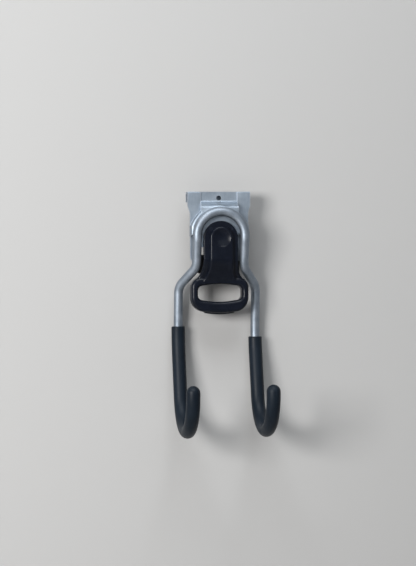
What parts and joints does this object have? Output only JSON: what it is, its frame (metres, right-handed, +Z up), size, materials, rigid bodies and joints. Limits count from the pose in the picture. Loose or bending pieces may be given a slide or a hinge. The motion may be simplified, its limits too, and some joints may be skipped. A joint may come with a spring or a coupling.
{
  "type": "garage utility hook",
  "caption": "Bent-rod utility hook with soft-sleeved prongs on a pressed steel bracket that hangs on a wall rail and locks with a sprung pull-down latch.",
  "frame": {"origin": "the inside corner of the lip, where the rail's top edge and front face meet, in the middle of the plate's width", "axes": "+X to the right as the viewer faces the hook, +Y towards the wall, +Z up; the plate's back lies on the rail's face at Y = 0 and its lip on the rail's top edge at Z = 0"},
  "size_m": [0.0814, 0.0893, 0.2145],
  "materials": {
    "zinc_sheet": "silver-grey satin over zinc-plated sheet steel",
    "coated_rod": "silver-grey satin metallic coat",
    "soft_sleeve": "matte soft-touch vinyl",
    "latch_plastic": "moulded, slightly glossy",
    "slider_plastic": "moulded",
    "screw_steel": "zinc plated",
    "spring_steel": "drawn spring wire"
  },
  "bodies": {
    "bracket": {"mounting_plate": "zinc_sheet", "wire_frame": "coated_rod", "left_grip_sleeve": "soft_sleeve", "right_grip_sleeve": "soft_sleeve", "return_spring": "spring_steel"},
    "latch": {"latch_handle": "latch_plastic", "latch_slider": "slider_plastic", "latch_screws": "screw_steel"}
  },
  "joints": [
    {"name": "latch_slide", "type": "slide", "parent": "bracket", "child": "latch", "axis": [0, 0, -1], "range_m": [0, 0.008], "stiffness_N_per_m": 600, "springref_m": -0.004, "deforming": ["return_spring"]}
  ]
}
